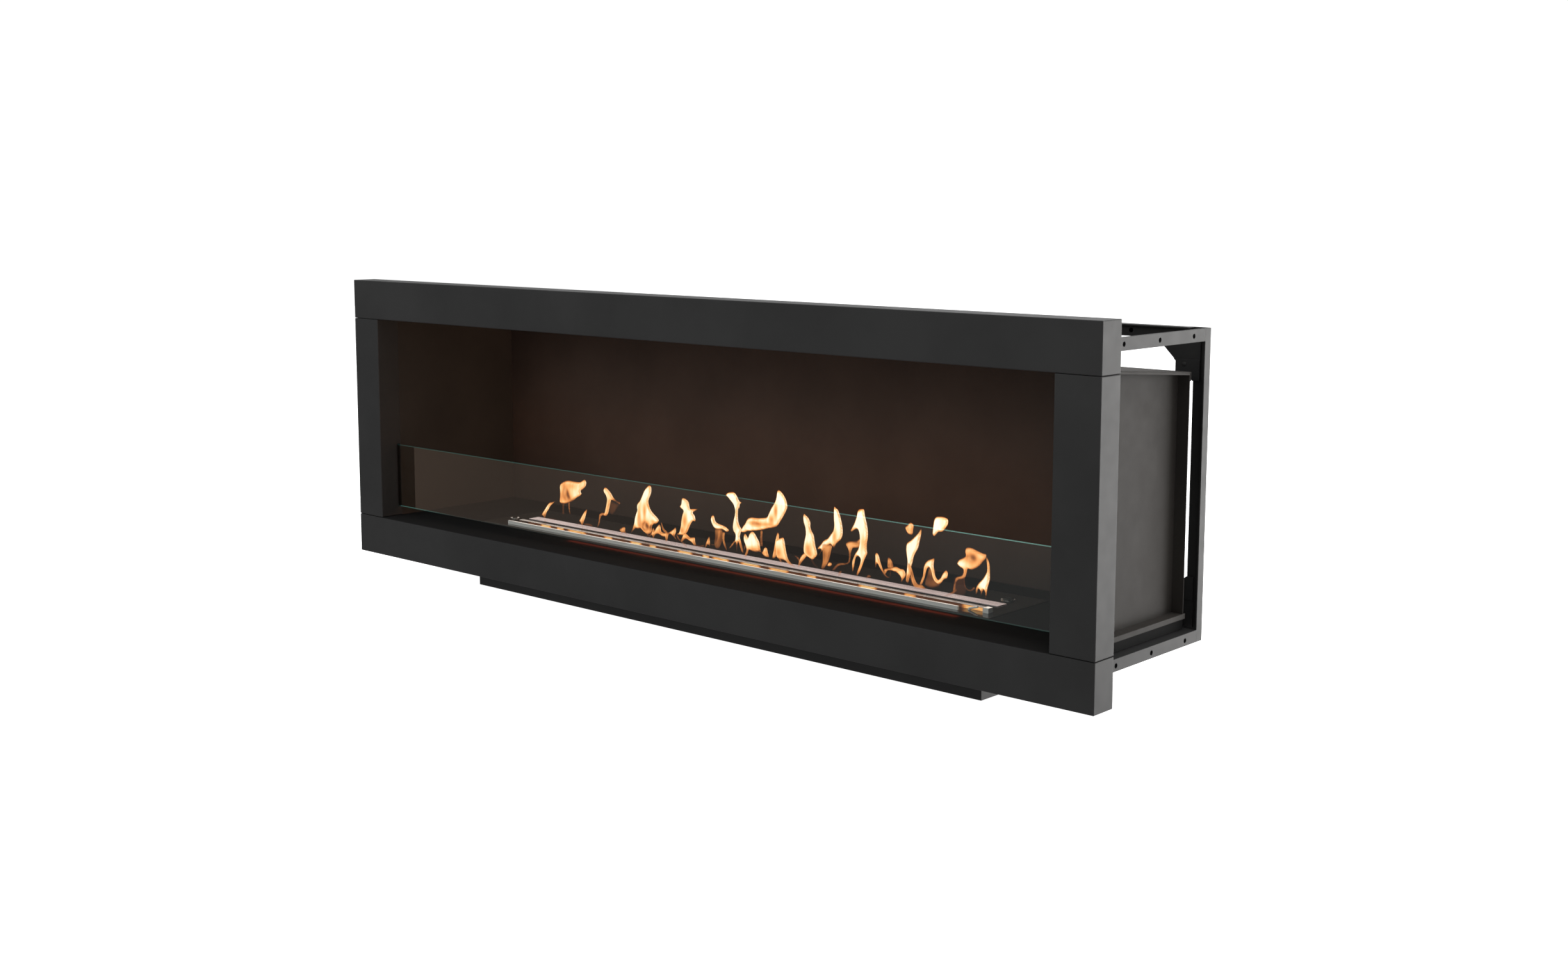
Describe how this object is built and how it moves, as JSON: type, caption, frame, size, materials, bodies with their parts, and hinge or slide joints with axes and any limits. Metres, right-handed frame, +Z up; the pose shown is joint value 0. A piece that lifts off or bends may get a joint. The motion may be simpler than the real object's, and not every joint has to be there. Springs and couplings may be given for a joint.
{
  "type": "built-in linear fireplace",
  "caption": "Built-in linear fireplace: a dark flat trim frame and a low glass pane before an open firebox, with a line burner in its floor and a mounting frame.",
  "frame": {"origin": "centre of the underside of the overall box, which is the underside of the burner casing", "axes": "+X to the right as seen from the front, +Y from the front to the rear, +Z up"},
  "size_m": [1.834, 0.396, 0.632],
  "materials": {
    "trim_paint": "satin",
    "frame_paint": "satin",
    "firebox_paint": "matte",
    "casing_paint": "satin",
    "glass": "clear",
    "black_plastic": "matte",
    "stainless": "brushed",
    "zinc_fixings": "dull",
    "rubber": "matte",
    "float_plastic": "matte",
    "cast_alloy": "satin",
    "board": "gloss",
    "contacts": "satin"
  },
  "bodies": {
    "fireplace": {"burner_casing": "casing_paint", "burner_end_block": "stainless", "burner_front_rail": "stainless", "burner_inner_rail": "stainless", "burner_rear_rail": "stainless", "burner_top_plate": "casing_paint", "burner_trough": "stainless", "button_spring": "stainless", "button_switch": "stainless", "casing_studs": "zinc_fixings", "control_board": "board", "fan_frame": "black_plastic", "filler_neck": "stainless", "firebox_back_panel": "firebox_paint", "firebox_floor_pan": "firebox_paint", "firebox_left_side": "firebox_paint", "firebox_right_side": "firebox_paint", "firebox_roof": "firebox_paint", "float_stem": "stainless", "frame_front_bottom_rail": "frame_paint", "frame_front_top_rail": "frame_paint", "frame_left_bottom_rail": "frame_paint", "frame_left_front_post": "frame_paint", "frame_left_rear_post": "frame_paint", "frame_left_top_rail": "frame_paint", "frame_rear_bottom_rail": "frame_paint", "frame_rear_top_rail": "frame_paint", "frame_right_bottom_rail": "frame_paint", "frame_right_front_post": "frame_paint", "frame_right_rear_post": "frame_paint", "frame_right_top_rail": "frame_paint", "fuel_lines": "stainless", "fuel_pump": "cast_alloy", "fuel_tank": "stainless", "glass_channel_left": "black_plastic", "glass_channel_right": "black_plastic", "glass_pane": "glass", "heater_element": "stainless", "igniter_rod": "stainless", "inlet_pins": "contacts", "lower_gusset_left": "frame_paint", "lower_gusset_right": "frame_paint", "power_inlet": "black_plastic", "power_supply": "cast_alloy", "sheet_rivets": "zinc_fixings", "stay_bolts": "zinc_fixings", "stay_spacers": "zinc_fixings", "tank_feet": "rubber", "trim_bolts": "zinc_fixings", "trim_bottom_rail": "trim_paint", "trim_left_stile": "trim_paint", "trim_right_stile": "trim_paint", "trim_top_rail": "trim_paint", "upper_gusset_left": "frame_paint", "upper_gusset_right": "frame_paint", "vapour_tube": "stainless"},
    "button": {"power_button": "stainless"},
    "cap": {"filler_cap": "stainless"},
    "float": {"level_float": "float_plastic"},
    "rotor": {"fan_rotor": "black_plastic"}
  },
  "joints": [
    {"name": "button_press", "type": "slide", "parent": "fireplace", "child": "button", "axis": [0, 0, -1], "range_m": [0, 0.0015], "stiffness_N_per_m": 400, "springref_m": -0.001, "deforming": ["button_spring"]},
    {"name": "cap_turn", "type": "hinge", "parent": "fireplace", "child": "cap", "pos_m": [0.59, 0.052, 0.1353], "axis": [0, 0, 1], "range_deg": [0, 90]},
    {"name": "float_rise", "type": "slide", "parent": "fireplace", "child": "float", "axis": [0, 0, 1], "range_m": [0, 0.045]},
    {"name": "fan_spin", "type": "hinge", "parent": "fireplace", "child": "rotor", "pos_m": [-0.633, 0.007, 0.062], "axis": [1, 0, 0], "continuous": true}
  ]
}
